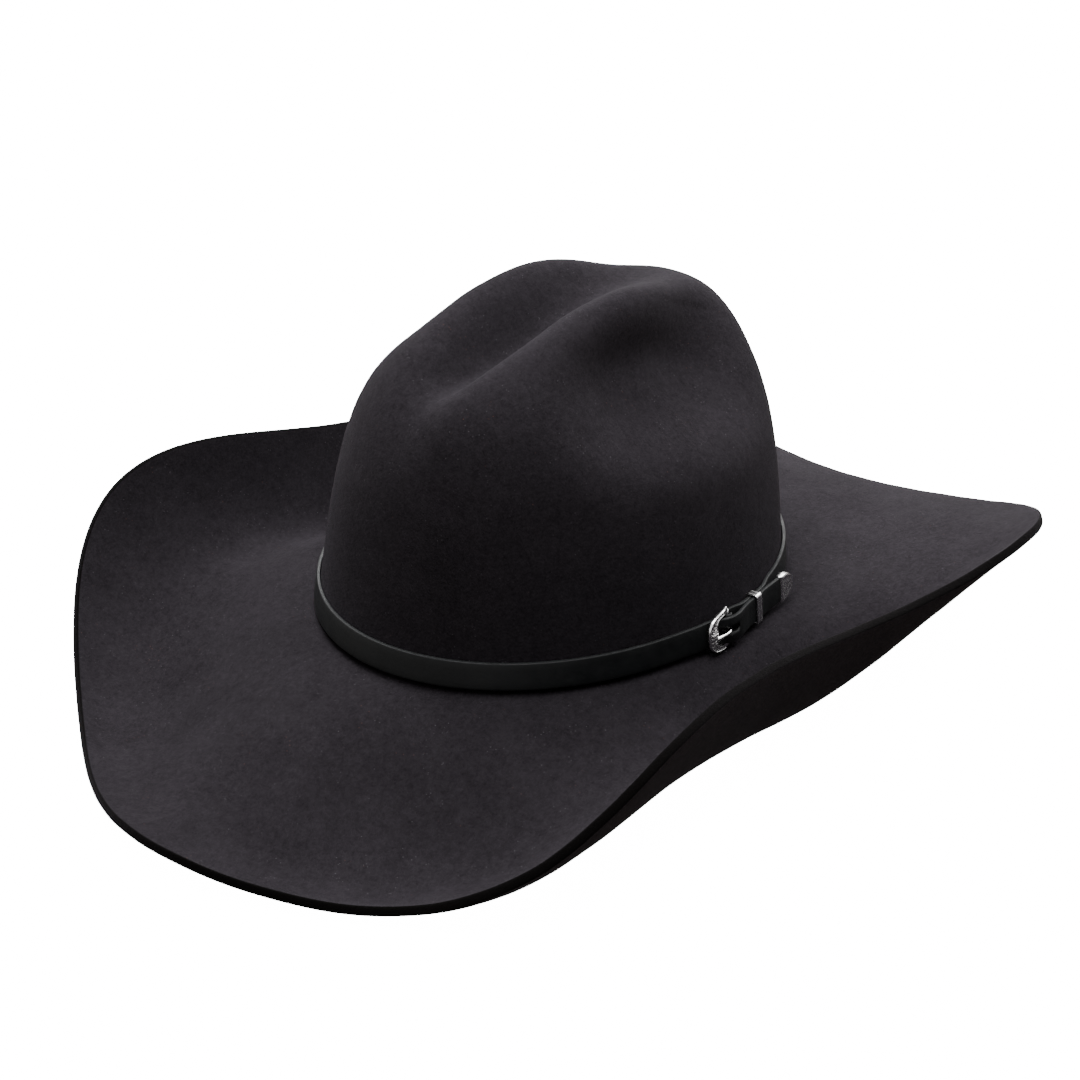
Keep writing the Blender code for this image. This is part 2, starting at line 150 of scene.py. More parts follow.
def set_camera():
    """The camera, drawn in the hat's directions: round from the front towards the wearer's left."""
    turned, up = math.radians(CAMERA_ROUND), math.radians(CAMERA_UP)
    back = np.array([math.sin(turned) * math.cos(up), -math.cos(turned) * math.cos(up), math.sin(up)])
    right = np.array([math.cos(turned), math.sin(turned), 0.0])
    facing = Matrix([right, np.cross(back, right), back]).transposed()
    for turn, axis in zip((CAMERA_AIM[1], CAMERA_AIM[0], CAMERA_AIM[2]), "YXZ"):
        facing = facing @ Matrix.Rotation(math.radians(turn), 3, axis).transposed()
    camera = bpy.data.objects.new("camera", bpy.data.cameras.new("camera"))
    camera.data.lens = CAMERA_LENS
    camera.data.sensor_width = 36
    camera.data.clip_start = 0.01
    camera.matrix_world = stand @ Matrix.Translation(back * CAMERA_AWAY) @ facing.to_4x4()
    bpy.context.scene.collection.objects.link(camera)
    bpy.context.scene.camera = camera


set_camera()


# ---------------------------------------------------------------- the hat's surfaces


def around(values, angle):
    """A smooth closed curve through a value every 30 degrees, from the front round by the left side."""
    stations = np.radians(np.arange(-90, 270, 30))
    total = np.zeros_like(angle)
    for wave in range(7):
        size = 1 / 12 if wave in (0, 6) else 1 / 6
        total = total + size * np.cos(wave * (angle[..., None] - stations)) @ values
    return total


def edge_column(column, sign):
    """One column of the brim's edge, carried round to the wearer's right."""
    half = np.array([row[column] for row in BRIM_EDGE])
    return np.concatenate([half, sign * half[-2:0:-1]])


def oval(angle):
    x = OVAL_WIDTH / 2 * np.cos(angle) * (1 + OVAL_EGG * np.sin(angle))
    return x, OVAL_LENGTH / 2 * np.sin(angle)


def brim(angle, out):
    """The top of the brim, where out is 0 at the break and 1 at the edge."""
    x0, y0 = oval(angle)
    x1, y1 = around(edge_column(0, -1), angle), around(edge_column(1, 1), angle)
    heights = edge_column(2, 1)
    heights[7:10] -= RIGHT_FALL
    z1 = around(heights, angle)
    slope = np.tan(np.radians(around(edge_column(3, 1), angle)))
    width = np.hypot(x1 - x0, y1 - y0)
    rise = z1 * (3 * out**2 - 2 * out**3) + width * slope * (out**3 - out**2)
    return np.stack([x0 + out * (x1 - x0), y0 + out * (y1 - y0), rise], -1)


def squareness(angle):
    return CROWN_BLOCK + END_BLOCK * np.sin(angle) ** 2


def crown(angle, turn):
    """The outside of the crown, where turn is 0 at the break and 1 at the middle of the top."""
    phi = turn * math.pi / 2
    x0, y0 = oval(angle)
    reach, rise = np.cos(phi) ** (2 / squareness(angle)), np.sin(phi) ** (2 / squareness(angle))
    lean = reach * (1 - (CROWN_TAPER - FRONT_TAPER * np.sin(angle)) * rise)
    x, y = x0 * lean, y0 * lean
    drop = FRONT_DROP / 2 * (1 - np.tanh((y - FRONT_DROP_AT) / DROP_RUN))
    drop = drop + BACK_DROP / 2 * (1 + np.tanh((y - BACK_DROP_AT) / BACK_DROP_RUN))
    drop = drop + SIDE_DROP / 2 * (x / RIDGE_OUT) ** 2 * (1 + np.tanh((y - DROP_RUN) / DROP_RUN))
    crease_reach = np.where(y < CREASE_MIDDLE, CREASE_AHEAD, CREASE_BEHIND)
    crease_width = CREASE_WIDTH + CREASE_SPREAD * np.clip(y / 0.05, -1, 1)
    crease = np.exp(-(((y - CREASE_MIDDLE) / crease_reach) ** 2) - (x / crease_width) ** 2)
    drop = drop + CREASE_DEPTH * crease
    behind = y - DENT_MIDDLE
    climb = (turn - DENT_TURN - DENT_CLIMB * behind) / DENT_WIDTH
    fade = np.clip((rise - DENT_START) / 0.25, 0, 1)
    dent = np.exp(-(np.abs(behind / DENT_REACH) ** 3) - climb**2) * fade**2 * (3 - 2 * fade)
    x = x - np.clip(x / RIDGE_OUT, -1, 1) * DENT_DEPTH * dent
    return np.stack([x, y, CROWN_HEIGHT * rise - (drop + DENT_SINK * dent) * rise**3], -1)


def even_turn(angle, slant):
    """The crown's turn at a slant from its foot, 0, to its top, 90 degrees, so that rings lie evenly."""
    return 2 / math.pi * np.arctan(np.tan(slant) ** (squareness(angle) / 2))


def inward(angle, turn, depth):
    """A point of the crown, moved in through the felt."""
    step = 1e-4
    across = crown(angle + step, turn) - crown(angle - step, turn)
    up = crown(angle, turn + step) - crown(angle, turn - step)
    normal = np.cross(across, up)
    normal = normal / np.linalg.norm(normal, axis=-1, keepdims=True)
    return crown(angle, turn) - np.asarray(depth)[..., None] * normal


def wall(angle, height, out):
    """A point by the foot of the crown, at this height and this far outside the felt."""
    angle, height, out = np.broadcast_arrays(angle, height, out)
    rise = np.maximum(height, 0) / CROWN_HEIGHT
    shrink = (1 - rise ** squareness(angle)) ** (1 / squareness(angle))
    shrink = shrink * (1 - (CROWN_TAPER - FRONT_TAPER * np.sin(angle)) * rise)
    x, y = oval(angle)
    normal = np.stack([np.cos(angle) / OVAL_WIDTH, np.sin(angle) / OVAL_LENGTH], -1)
    normal = normal / np.linalg.norm(normal, axis=-1, keepdims=True)
    return np.stack([x * shrink + out * normal[..., 0], y * shrink + out * normal[..., 1], height], -1)


# How far along the band each of these angles is, near the middle of the strap
RUN_HEIGHT = 0.008
RUN_OUT = 0.001
FINE = np.linspace(0, 2 * math.pi, 2001)
STEPS = np.linalg.norm(np.diff(wall(FINE, RUN_HEIGHT, RUN_OUT), axis=0), axis=1)
RUN = np.concatenate([[0], STEPS.cumsum()])
GIRTH = RUN[-1]
BAR_RUN = np.interp(math.asin(BAR_BACK / (OVAL_LENGTH / 2)), FINE, RUN)


def strap(run, out, height):
    """A point of the band: so far along it from the buckle's bar, so far outside the felt, and so high."""
    angle = np.interp((np.asarray(run) + BAR_RUN) % GIRTH, RUN, FINE)
    return wall(angle, height, out)


# ---------------------------------------------------------------- meshes


def placed(points):
    """Points of the hat's own directions, as the hat stands."""
    turn = np.array(stand)
    return np.asarray(points) @ turn[:3, :3].T + turn[:3, 3]


def piece(name, points, faces, body, material, nodes=(), marks=None):
    """A finished piece that rides on a body and stands for CAD nodes, with marks kept on its points."""
    mesh = bpy.data.meshes.new(name)
    mesh.from_pydata(np.asarray(points).tolist(), [], faces)
    mesh.update()
    made = bpy.data.objects.new(name, mesh)
    bpy.context.scene.collection.objects.link(made)
    for key, values in (marks or {}).items():
        mesh.attributes.new(key, "FLOAT", "POINT").data.foreach_set("value", np.asarray(values, np.float32))
    mesh.materials.append(material)
    mesh.shade_smooth()
    face_outward(made)
    if body:
        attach(made, body)
    if nodes:
        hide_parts(*nodes)
    return made


def face_outward(made):
    """Turns a closed mesh the right way out, by the sign of its volume."""
    mesh = made.data
    mesh.calc_loop_triangles()
    points = np.empty(len(mesh.vertices) * 3)
    mesh.vertices.foreach_get("co", points)
    corners = np.empty(len(mesh.loop_triangles) * 3, np.int32)
    mesh.loop_triangles.foreach_get("vertices", corners)
    points, corners = points.reshape(-1, 3), corners.reshape(-1, 3)
    a, b, c = (points[corners[:, k]] for k in range(3))
    if np.einsum("ij,ij->i", a, np.cross(b, c)).sum() < 0:
        mesh.flip_normals()


def sleeve(rows, count, first=0):
    """Quads between each ring of points and the next."""
    quads = []
    for low in range(rows - 1):
        a, b = first + low * count, first + (low + 1) * count
        for step in range(count):
            after = (step + 1) % count
            quads.append((a + step, a + after, b + after, b + step))
    return quads


def capped(rings):
    """Points and faces of a closed body through a row of rings, with a face over each end."""
    rings = np.asarray(rings)
    rows, count = rings.shape[:2]
    faces = sleeve(rows, count)
    faces.append(tuple(range(count))[::-1])
    faces.append(tuple(range((rows - 1) * count, rows * count)))
    return placed(rings.reshape(-1, 3)), faces


def closed_sleeve(rows, count):
    """A sleeve whose last ring joins its first."""
    last = (rows - 1) * count
    seam = [(last + k, last + (k + 1) % count, (k + 1) % count, k) for k in range(count)]
    return sleeve(rows, count) + seam


def pole_fans(rows, count):
    """Triangles from the first and the last ring to a point each, which follow the rings in the mesh."""
    total, last = rows * count, (rows - 1) * count
    fans = [((k + 1) % count, k, total) for k in range(count)]
    return fans + [(last + k, last + (k + 1) % count, total + 1) for k in range(count)]


def hooped(rings):
    """Points and faces of a closed hoop through a row of rings."""
    rings = np.asarray(rings)
    return placed(rings.reshape(-1, 3)), closed_sleeve(*rings.shape[:2])


def smooth_path(points, steps):
    """A smooth curve through these rows of numbers, with so many steps between each and the next."""
    points = np.asarray(points, float)
    before = np.concatenate([[2 * points[0] - points[1]], points[:-1]])
    after = np.concatenate([points[1:], [2 * points[-1] - points[-2]]])
    chord = np.linalg.norm(np.diff(points[:, :2], axis=0), axis=1)
    knots = np.concatenate([[0], np.sqrt(chord).cumsum()])
    gaps = np.diff(knots)
    wide = np.concatenate([[2 * gaps[0]], gaps[:-1] + gaps[1:], [2 * gaps[-1]]])
    slopes = (after - before) / wide[:, None]
    rows = []
    for k in range(len(points) - 1):
        t = (np.arange(steps) / steps)[:, None]
        h = gaps[k]
        rows.append(
            points[k] * (1 + 2 * t) * (1 - t) ** 2
            + slopes[k] * h * t * (1 - t) ** 2
            + points[k + 1] * t**2 * (3 - 2 * t)
            + slopes[k + 1] * h * t**2 * (t - 1)
        )
    rows.append(points[-1:])
    return np.concatenate(rows)


def applied(made):
    """Turns an object's modifiers into its mesh."""
    graph = bpy.context.evaluated_depsgraph_get()
    old = made.data
    made.data = bpy.data.meshes.new_from_object(made.evaluated_get(graph))
    made.modifiers.clear()
    bpy.data.meshes.remove(old)
    made.data.name = made.name


def joined(made, cutter, operation):
    """Cuts a helper body from a piece, or joins it on, and removes the helper."""
    boolean = made.modifiers.new("cut", "BOOLEAN")
    boolean.object = cutter
    boolean.operation = operation
    boolean.solver = "MANIFOLD"
    bpy.context.view_layer.update()
    applied(made)
    bpy.data.objects.remove(cutter, do_unlink=True)


# ---------------------------------------------------------------- materials


class Graph:
    """A material's nodes, added one call at a time."""

    def __init__(self, name):
        self.material = bpy.data.materials.new(name)
        self.material.use_nodes = True
        self.nodes = self.material.node_tree.nodes
        self.shader = self.nodes["Principled BSDF"]
        self.place = self.nodes.new("ShaderNodeTexCoord").outputs["Object"]

    def put(self, socket, value):
        if isinstance(value, bpy.types.NodeSocket):
            self.material.node_tree.links.new(value, socket)
        else:
            socket.default_value = value

    def add(self, kind, out=0, settings=None, **inputs):
        node = self.nodes.new("ShaderNode" + kind)
        for key, value in (settings or {}).items():
            setattr(node, key, value)
        for key, value in inputs.items():
            self.put(node.inputs[key.replace("_", " ")], value)
        return node.outputs[out]

    def noise(self, scale, detail=4.0, roughness=0.5, vector=None, distortion=0.0):
        return self.add(
            "TexNoise",
            Vector=vector or self.place,
            Scale=scale,
            Detail=detail,
            Roughness=roughness,
            Distortion=distortion,
        )

    def cells(self, scale, feature="F1"):
        return self.add("TexVoronoi", "Distance", {"feature": feature}, Vector=self.place, Scale=scale)

    def stretched(self, scale, turn=(0, 0, 0)):
        """The object's own coordinates, stretched along some directions."""
        node = self.nodes.new("ShaderNodeMapping")
        self.put(node.inputs["Vector"], self.place)
        node.inputs["Scale"].default_value = scale
        node.inputs["Rotation"].default_value = turn
        return node.outputs[0]

    def mark(self, name):
        """A number kept on the mesh's points."""
        return self.add("Attribute", "Fac", {"attribute_name": name})

    def calc(self, operation, a, b=0.0, clamp=False):
        node = self.nodes.new("ShaderNodeMath")
        node.operation = operation
        node.use_clamp = clamp
        self.put(node.inputs[0], a)
        self.put(node.inputs[1], b)
        return node.outputs[0]

    def span(self, value, low, high, to_low=0.0, to_high=1.0):
        node = self.nodes.new("ShaderNodeMapRange")
        names = ("Value", "From Min", "From Max", "To Min", "To Max")
        for key, number in zip(names, (value, low, high, to_low, to_high)):
            self.put(node.inputs[key], number)
        return node.outputs[0]

    def mix(self, share, a, b):
        node = self.nodes.new("ShaderNodeMix")
        node.data_type = "RGBA"
        self.put(node.inputs["Factor"], share)
        self.put(node.inputs[6], a)
        self.put(node.inputs[7], b)
        return node.outputs[2]

    def bump(self, height, distance, strength):
        node = self.nodes.new("ShaderNodeBump")
        node.inputs["Distance"].default_value = distance
        node.inputs["Strength"].default_value = strength
        self.put(node.inputs["Height"], height)
        return node.outputs[0]

    def finish(self, **inputs):
        for key, value in inputs.items():
            self.put(self.shader.inputs[key.replace("_", " ")], value)
        return self.material


FELT_DARK = (0.0042, 0.0035, 0.0043, 1)
FELT_LIGHT = (0.0185, 0.0162, 0.0190, 1)
FELT_SHEEN = 0.02


def felt_material():
    """Black fur felt: a short nap of crossing hairs, mottled a little, with a few pale hairs in it, and
    painted shade on its cut edge.
    """
    g = Graph("fur_felt")
    hairs = g.calc(
        "ADD",
        g.noise(1.0, 3, 0.6, g.stretched((2400, 700, 1500), (0.3, 0.5, 0.7)), 1.4),
        g.noise(1.0, 3, 0.6, g.stretched((650, 2300, 1300), (0.9, 0.2, 0.4)), 1.4),
    )
    mottle = g.noise(38.0, 3, 0.55)
    clumps = g.noise(330.0, 4, 0.65)
    nubs = g.noise(880.0, 3, 0.7)
    shade = g.calc("ADD", g.span(hairs, 0.72, 1.28, 0.0, 0.30), g.span(mottle, 0.3, 0.7, 0.0, 0.22))
    shade = g.calc("ADD", shade, g.span(clumps, 0.32, 0.68, 0.0, 0.30))
    shade = g.calc("ADD", shade, g.span(nubs, 0.34, 0.66, 0.0, 0.30), clamp=True)
    colour = g.mix(shade, FELT_DARK, FELT_LIGHT)
    pale = g.calc("MULTIPLY", g.span(g.cells(560.0), 0.16, 0.05), g.span(g.noise(120.0, 2), 0.52, 0.62))
    colour = g.mix(g.calc("MULTIPLY", pale, 0.7), colour, (0.060, 0.056, 0.062, 1))
    rusty = g.calc("MULTIPLY", g.span(g.cells(410.0), 0.14, 0.05), g.span(g.noise(70.0, 2), 0.58, 0.66))
    colour = g.mix(g.calc("MULTIPLY", rusty, 0.6), colour, (0.050, 0.026, 0.022, 1))
    # Painted shade: the cut edge is coloured much darker than the rest of the felt, to stand in for the
    # shade on it
    colour = g.mix(g.mark("cut"), colour, (0.0012, 0.0010, 0.0009, 1))
    lumps = g.calc("ADD", g.calc("MULTIPLY", clumps, 0.9), g.calc("MULTIPLY", nubs, 1.2))
    return g.finish(
        Base_Color=colour,
        Roughness=0.96,
        Specular_IOR_Level=0.02,
        Normal=g.bump(g.calc("ADD", hairs, lumps), 0.00026, 0.8),
        Sheen_Weight=FELT_SHEEN,
        Sheen_Roughness=0.50,
        Sheen_Tint=(0.82, 0.76, 0.86, 1),
    )


def leather_material(name, dark, light, worn, roughness, scale=1.0):
    """Smooth leather: fine grain, slightly uneven dye, and burnished where its edges are rubbed."""
    g = Graph(name)
    grain = g.span(g.cells(1500.0 * scale, "DISTANCE_TO_EDGE"), 0.0, 0.10)
    creases = g.noise(240.0 * scale, 4, 0.6, distortion=0.8)
    dye = g.noise(60.0, 3, 0.6)
    colour = g.mix(g.span(dye, 0.35, 0.68), dark, light)
    patchy = g.span(g.noise(350.0, 3), 0.30, 0.62, 0.45, 1.0)
    rubbed = g.calc("MULTIPLY", g.mark("edge"), patchy, clamp=True)
    colour = g.mix(rubbed, colour, worn)
    gloss = g.span(creases, 0.3, 0.7, roughness - 0.06, roughness + 0.10)
    height = g.calc("ADD", g.calc("MULTIPLY", grain, 0.35), creases)
    grained = g.bump(height, 0.00008, 0.6)
    return g.finish(Base_Color=colour, Roughness=gloss, Normal=grained, Specular_IOR_Level=0.12)


def silver_material():
    """Bright silver plate: polished where it stands proud, dark where engraved, with painted shade where it
    lies against the strap, and with fine handling marks.
    """
    g = Graph("engraved_silver")
    speckle = g.span(g.noise(900.0, 3), 0.35, 0.75, -0.12, 0.08)
    # The engraved mark holds real engraving and also painted shade on the faces that lie against the strap
    low = g.calc("ADD", g.mark("engraved"), speckle, clamp=True)
    tarnish = g.noise(260.0, 4, 0.6)
    colour = g.mix(g.span(tarnish, 0.35, 0.7), (0.86, 0.85, 0.84, 1), (0.70, 0.69, 0.69, 1))
    colour = g.mix(g.span(low, 0.18, 0.85), colour, (0.060, 0.056, 0.058, 1))
    scratches = g.noise(1.0, 2, 0.5, g.stretched((400, 400, 5200), (0.5, 0.2, 0.9)))
    gloss = g.calc("ADD", g.span(tarnish, 0.3, 0.7, 0.15, 0.25), g.span(low, 0.1, 0.9, 0.0, 0.35))
    scratched = g.bump(scratches, 0.00002, 0.25)
    return g.finish(Base_Color=colour, Metallic=1.0, Roughness=gloss, Normal=scratched)


def satin_material():
    """Black satin: a fine twill of floating threads with a soft lustre."""
    g = Graph("satin")
    diagonal = {"bands_direction": "DIAGONAL"}
    twill = g.add("TexWave", 1, diagonal, Vector=g.place, Scale=620.0, Distortion=1.2, Detail=2.0)
    slubs = g.noise(1.0, 3, 0.6, g.stretched((90, 90, 900)))
    share = g.calc("ADD", g.span(twill, 0.0, 1.0, 0.0, 0.35), g.span(slubs, 0.3, 0.7, 0.0, 0.5), clamp=True)
    colour = g.mix(share, (0.010, 0.010, 0.012, 1), (0.034, 0.034, 0.040, 1))
    height = g.calc("ADD", g.calc("MULTIPLY", twill, 0.5), slubs)
    return g.finish(
        Base_Color=colour,
        Roughness=g.span(slubs, 0.3, 0.7, 0.26, 0.38),
        Normal=g.bump(height, 0.00005, 0.5),
        Sheen_Weight=0.25,
        Sheen_Roughness=0.3,
    )


def ribbon_material(name, dark, light):
    """Ribbed ribbon or tape, from the number kept along it."""
    g = Graph(name)
    rib = g.calc("SINE", g.calc("MULTIPLY", g.mark("along"), 2 * math.pi))
    thread = g.noise(1900.0, 2)
    share = g.calc("ADD", g.span(rib, -1.0, 1.0, 0.0, 0.7), g.span(thread, 0.3, 0.7, 0.0, 0.3), clamp=True)
    height = g.calc("ADD", rib, g.calc("MULTIPLY", thread, 0.6))
    return g.finish(
        Base_Color=g.mix(share, dark, light),
        Roughness=g.span(thread, 0.3, 0.7, 0.52, 0.70),
        Normal=g.bump(height, 0.00010, 0.6),
        Sheen_Weight=0.2,
    )


FELT = felt_material()
BAND = leather_material(
    "band_leather",
    dark=(0.0040, 0.0042, 0.0044, 1),
    light=(0.0070, 0.0073, 0.0076, 1),
    worn=(0.0095, 0.0100, 0.0105, 1),
    roughness=0.50,
)
SWEAT = leather_material(
    "sweatband_leather",
    dark=(0.055, 0.030, 0.016, 1),
    light=(0.105, 0.060, 0.032, 1),
    worn=(0.16, 0.10, 0.06, 1),
    roughness=0.52,
    scale=0.6,
)
SILVER = silver_material()
SATIN = satin_material()
RIBBON = ribbon_material("grosgrain", (0.006, 0.006, 0.007, 1), (0.022, 0.022, 0.026, 1))
TAPE = ribbon_material("reed_tape", (0.014, 0.013, 0.012, 1), (0.045, 0.042, 0.038, 1))
THREAD = ribbon_material("thread", (0.040, 0.026, 0.016, 1), (0.130, 0.085, 0.050, 1))


# ---------------------------------------------------------------- felt body


def hand(points, fade):
    """The slight unevenness that steaming and shaping by hand leave in the felt."""
    x, y, z = points[..., 0], points[..., 1], points[..., 2]
    wave = np.sin(131 * x + 47 * y + 0.6) * np.sin(89 * y - 61 * z + 1.9)
    wave = wave + 0.6 * np.sin(203 * y + 88 * x + 2.4)
    wave = wave + 0.5 * np.sin(263 * x - 149 * y + 120 * z) + 0.3 * np.sin(410 * z + 230 * y + 1.0)
    return 0.00009 * fade * wave


def normals_of(grid):
    """Outward normals of a grid of rings that runs up from the brim's edge."""
    along = np.gradient(grid, axis=0)
    across = np.roll(grid, -1, axis=1) - np.roll(grid, 1, axis=1)
    normal = np.cross(across, along)
    return normal / np.linalg.norm(normal, axis=-1, keepdims=True)


def make_felt():
    turns = np.arange(AROUND) * 2 * math.pi / AROUND
    corner = brim(turns, np.zeros(AROUND))
    width = np.linalg.norm((brim(turns, np.ones(AROUND)) - corner)[:, :2], axis=1)
    start = BREAK_RADIUS / width
    rings, thick, fade = [], [], []

    # Rings from the brim's edge in to the break, over the break, and up the crown
    for share in np.linspace(1, 0, BRIM_RINGS):
        rings.append(brim(turns, start + (1 - start) * share))
        thick.append(BRIM_FELT)
        fade.append(min(1, share * 4))
    flat, foot = rings[-1], wall(turns, BREAK_RADIUS, 0)
    foot_felt = CROWN_FELT + (BRIM_FELT - CROWN_FELT) / 3
    for along in np.linspace(0, 1, BREAK_RINGS + 1)[1:]:
        rings.append((1 - along) ** 2 * flat + 2 * along * (1 - along) * corner + along**2 * foot)
        thick.append(BRIM_FELT + along * (foot_felt - BRIM_FELT))
        fade.append(0)
    for slant in np.linspace(0.032, 1.566, CROWN_RINGS):
        ring = crown(turns, even_turn(turns, slant))
        height = ring[:, 2].mean()
        rings.append(ring)
        thick.append(np.interp(height, (0.0025, 0.020), (foot_felt, CROWN_FELT)))
        fade.append(np.interp(height, (0.018, 0.040), (0, 1)))
    grid = np.array(rings)
    normal = normals_of(grid)
    thick, fade = np.array(thick)[:, None], np.array(fade)[:, None]
    grid = grid + hand(grid, fade)[..., None] * normal
    top = crown(np.zeros(1), np.ones(1))[0]
    under = grid - thick[..., None] * normal
    under_top = top - [0, 0, CROWN_FELT]

    # The cut edge is square with its corners a little worn
    away = grid[0] - grid[1]
    away = away / np.linalg.norm(away, axis=1, keepdims=True)
    grid[0] = grid[0] - EDGE_WORN * away
    under[0] = under[0] - EDGE_WORN * away
    edge = []
    for tilt in np.radians((-72, -50, -25, 0, 25, 50, 72)):
        out, up = math.cos(tilt) ** 0.55, math.copysign(abs(math.sin(tilt)) ** 0.75, tilt)
        edge.append((grid[0] + under[0]) / 2 + EDGE_WORN * out * away + BRIM_FELT / 2 * up * normal[0])
    rows = np.concatenate([under[::-1], np.array(edge), grid])
    points = placed(np.concatenate([rows.reshape(-1, 3), [under_top, top]]))
    points[:, 2] = np.maximum(points[:, 2], 0.0)
    faces = sleeve(len(rows), AROUND) + pole_fans(len(rows), AROUND)
    # The cut mark tells the felt's material where to paint the cut edge darker as shade
    cut = np.zeros(len(points))
    first = len(under) * AROUND
    cut[first : first + len(edge) * AROUND] = 1
    return piece("felt_hat_body", points, faces, "hat", FELT, ["felt_body"], {"cut": cut})


make_felt()


# ---------------------------------------------------------------- band


def rounded(half_out, half_high, radius, steps=4):
    """An upright rectangle with round corners, as (out, up) pairs, with points along its long sides."""
    pairs = []
    for quarter, (o, h) in enumerate(((-1, -1), (1, -1), (1, 1), (-1, 1))):
        for step in range(steps + 1):
            turn = math.radians(180 + 90 * quarter + 90 * step / steps)
            out, up = o * (half_out - radius), h * (half_high - radius)
            pairs.append((out + radius * math.cos(turn), up + radius * math.sin(turn)))
        if quarter in (1, 3):
            for share in (0.25, 0.5, 0.75):
                pairs.append((o * half_out, o * (half_high - radius) * (2 * share - 1)))
    return pairs


def stadium(low, high, half, steps=6):
    """A slot's outline with round ends, as (run, up) pairs."""
    turns = np.radians(np.linspace(-90, 90, steps + 1))
    right = [(high - half + half * math.cos(t), half * math.sin(t)) for t in turns]
    left = [(low + half - half * math.cos(t), -half * math.sin(t)) for t in turns]
    return right + left


def slot_cutter(low, high, half, out):
    outline = stadium(low, high, half)
    rings = [[strap(run, o, BAND_MIDDLE + h) for run, h in outline] for o in out]
    points, faces = capped(rings)
    return piece("slot_cutter", points, faces, None, BAND)


def band_route():
    """The strap's route: from its eye, round the crown, under the bow, over the bar and on to its tip."""
    eye_radius = BAR_RADIUS + 0.00025 + EYE_LEATHER / 2
    lower = BAND_GAP + BAND_LEATHER / 2
    raised = lower + 0.0011
    route = []
    for turn in np.radians(np.linspace(35, 270, 10)):
        route.append((eye_radius * math.cos(turn), BAR_OUT + eye_radius * math.sin(turn), EYE_LEATHER))
    route += [(0.0025, BAR_OUT - eye_radius, EYE_LEATHER), (0.0060, lower, BAND_LEATHER)]
    route += [(run, raised, BAND_LEATHER) for run in (0.0100, 0.0180, 0.0270)]
    route.append((0.0340, lower, BAND_LEATHER))
    route += [(run, lower, BAND_LEATHER) for run in np.linspace(0.045, GIRTH - 0.040, 50)]
    billet = (
        (-0.030, lower),
        (-0.022, 0.00125),
        (-0.016, 0.0017),
        (-0.0115, 0.0019),
        (-0.008, 0.0023),
        (-0.0055, 0.0036),
        (-0.0028, 0.0051),
        (0.000, 0.0057),
        (0.0040, 0.0055),
        (0.0080, 0.0046),
        (0.0120, 0.00395),
        (0.0180, 0.00395),
        (0.0250, 0.00395),
        (0.0300, 0.0046),
        (TIP_BACK + 0.0006, TIP_OUT),
    )
    route += [(GIRTH + run, out, BAND_LEATHER) for run, out in billet]
    return smooth_path(route, 8)


def headings(route):
    heading = np.gradient(route[:, :2], axis=0)
    return heading / np.linalg.norm(heading, axis=1, keepdims=True)


ROUTE = band_route()
TAIL_ALONG, TAIL_ACROSS = headings(ROUTE)[-1]


def make_band():
    rings, edges = [], []
    for (run, out, thick), (along, across) in zip(ROUTE, headings(ROUTE)):
        ring = []
        for o, h in rounded(thick / 2, BAND_HALF, 0.00042):
            crowned = o + math.copysign(0.00010 * (1 - (h / BAND_HALF) ** 2), o)
            ring.append(strap(run - across * crowned, out + along * crowned, BAND_MIDDLE + h))
            edges.append(min(1, max(0, (abs(h) / BAND_HALF - 0.96) / 0.04)))
        rings.append(ring)
    points, faces = capped(rings)
    made = piece("band_strap", points, faces, "hat", BAND, ["hat_band"], {"edge": edges})
    joined(made, slot_cutter(-0.0075, 0.0030, 0.0014, (0.0020, 0.0085)), "DIFFERENCE")
    joined(made, slot_cutter(-0.0026, 0.0023, 0.0016, (-0.0002, 0.0047)), "DIFFERENCE")


make_band()


# ---------------------------------------------------------------- buckle set


def hump(value, place, width):
    """A smooth hump, 1 high at its place."""
    return np.exp(-(((value - place) / width) ** 2))


def feather(along, side):
    """Engraved strokes that slant away from a middle vein, 1 where they are deep."""
    stroke = 0.5 + 0.5 * np.cos(2 * math.pi * (along / 0.0017 - 0.55 * abs(side)))
    inside = np.clip((0.70 - abs(side)) / 0.12, 0, 1)
    return inside * np.maximum(stroke**2, hump(side, 0, 0.10))


def relief(side, outer_bead=0.40, inner_bead=0.26):
    """How high a domed metal strip stands across its width, with a bead along each edge."""
    dome = 0.62 * np.sqrt(np.maximum(0, 1 - (0.86 * side) ** 2))
    return dome + (outer_bead * hump(side, 0.84, 0.11) + inner_bead * hump(side, -0.86, 0.09))


